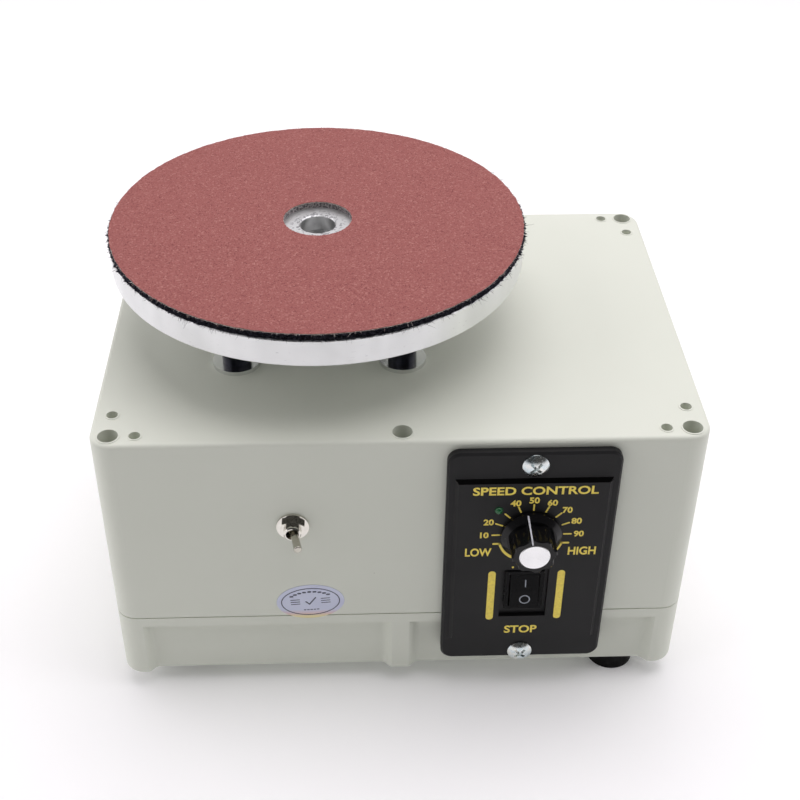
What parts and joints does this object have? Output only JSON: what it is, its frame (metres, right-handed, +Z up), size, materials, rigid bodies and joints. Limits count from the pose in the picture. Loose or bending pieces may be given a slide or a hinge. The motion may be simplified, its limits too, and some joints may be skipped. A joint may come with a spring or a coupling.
{
  "type": "pottery grinding wheel",
  "caption": "Electric pottery wheel: an aluminium disc faced with abrasive sheet turns above a plastic motor enclosure with a speed dial, a rocker switch and a toggle switch.",
  "frame": {"origin": "centre of the bounding box on the surface that the feet stand on, under the middle of the enclosure", "axes": "+X along the enclosure's long side to the right, +Y to the back, away from the control panel, +Z up along the spindle"},
  "size_m": [0.212, 0.1885, 0.1623],
  "materials": {
    "enclosure_plastic": "ivory grey moulded ABS, fine satin grain",
    "black_panel": "black moulded plastic, satin, with printed yellow markings",
    "black_knob": "glossy black moulded plastic",
    "switch_black": "black plastic, half gloss",
    "turned_aluminium": "turned, fine concentric tool marks",
    "spun_cap": "spun, bright rim",
    "motor_aluminium": "die cast and machined",
    "steel_shaft": "ground",
    "bright_zinc": "bright zinc or nickel plate",
    "black_oxide_steel": "black oxide",
    "bearing_steel": "polished",
    "electrical_steel": "laminated",
    "copper_winding": "enamelled copper",
    "rubber_black": "matt moulded rubber",
    "seal_rubber": "soft foamed rubber cord",
    "hook_fabric": "black hook-and-loop pile",
    "abrasive_grit": "red-brown aluminium oxide grain on paper",
    "green_lens": "green tinted lens, unlit",
    "circuit_board": "green laminate with components",
    "ferrite": "sintered magnet",
    "capacitor_case": "white plastic case",
    "terminal_plastic": "cream moulded plastic",
    "gland_plastic": "black nylon",
    "sticker_film": "pale lilac foil label"
  },
  "bodies": {
    "base": {"enclosure_body": "enclosure_plastic", "enclosure_lid": "enclosure_plastic", "lid_seal": "seal_rubber", "lid_screws": "bright_zinc", "rubber_feet": "rubber_black", "foot_screws": "bright_zinc", "foot_nuts": "bright_zinc", "motor_washers": "bright_zinc", "motor_screws": "black_oxide_steel", "motor_front_flange": "motor_aluminium", "motor_housing": "motor_aluminium", "motor_rear_cover": "motor_aluminium", "motor_through_bolts": "bright_zinc", "stator_core": "electrical_steel", "stator_windings": "copper_winding", "bearing_outer_races": "bearing_steel", "tacho_coil": "copper_winding", "tacho_cover": "gland_plastic", "control_faceplate": "black_panel", "panel_screws": "bright_zinc", "control_case": "black_panel", "control_case_cover": "black_panel", "control_board": "circuit_board", "potentiometer_body": "bright_zinc", "potentiometer_nut": "bright_zinc", "speed_led": "green_lens", "rocker_housing": "switch_black", "toggle_body": "switch_black", "toggle_bushing": "bright_zinc", "toggle_washer": "bright_zinc", "toggle_nut": "bright_zinc", "gland_body": "gland_plastic", "gland_locknut": "gland_plastic", "gland_seal": "rubber_black", "gland_cap": "gland_plastic", "run_capacitor": "capacitor_case", "capacitor_clamp": "bright_zinc", "capacitor_screws": "bright_zinc", "terminal_block": "terminal_plastic", "terminal_screws": "bright_zinc", "inspection_sticker": "sticker_film"},
    "spindle": {"motor_shaft": "steel_shaft", "rotor_core": "electrical_steel", "bearing_inner_races": "bearing_steel", "tacho_magnet": "ferrite", "disc_hub": "motor_aluminium", "hub_grub_screws": "black_oxide_steel", "disc_screws": "black_oxide_steel", "disc_plate": "turned_aluminium", "hook_pad": "hook_fabric", "abrasive_disc": "abrasive_grit"},
    "ball_set": {"bearing_balls": "bearing_steel", "bearing_cages": "bearing_steel"},
    "knob": {"speed_knob": "black_knob", "knob_cap": "spun_cap", "potentiometer_shaft": "steel_shaft"},
    "rocker": {"rocker_paddle": "switch_black"},
    "toggle": {"toggle_lever": "bright_zinc"}
  },
  "joints": [
    {"name": "spindle_spin", "type": "hinge", "parent": "base", "child": "spindle", "pos_m": [-0.0285, 0, 0.15], "axis": [0, 0, 1], "continuous": true},
    {"name": "ball_orbit", "type": "hinge", "parent": "base", "child": "ball_set", "pos_m": [-0.0285, 0, 0.075], "axis": [0, 0, 1], "continuous": true},
    {"name": "knob_turn", "type": "hinge", "parent": "base", "child": "knob", "pos_m": [0.0453, -0.0827, 0.0812], "axis": [0, -1, 0], "range_deg": [-160, 140]},
    {"name": "rocker_tilt", "type": "hinge", "parent": "base", "child": "rocker", "pos_m": [0.0445, -0.0818, 0.0542], "axis": [1, 0, 0], "range_deg": [0, 12]},
    {"name": "toggle_swing", "type": "hinge", "parent": "base", "child": "toggle", "pos_m": [-0.0385, -0.0792, 0.083], "axis": [0, 0, 1], "range_deg": [-22, 0]}
  ],
  "couplings": [
    {"joint": "ball_orbit", "follows": "spindle_spin", "ratio": 0.3909}
  ]
}
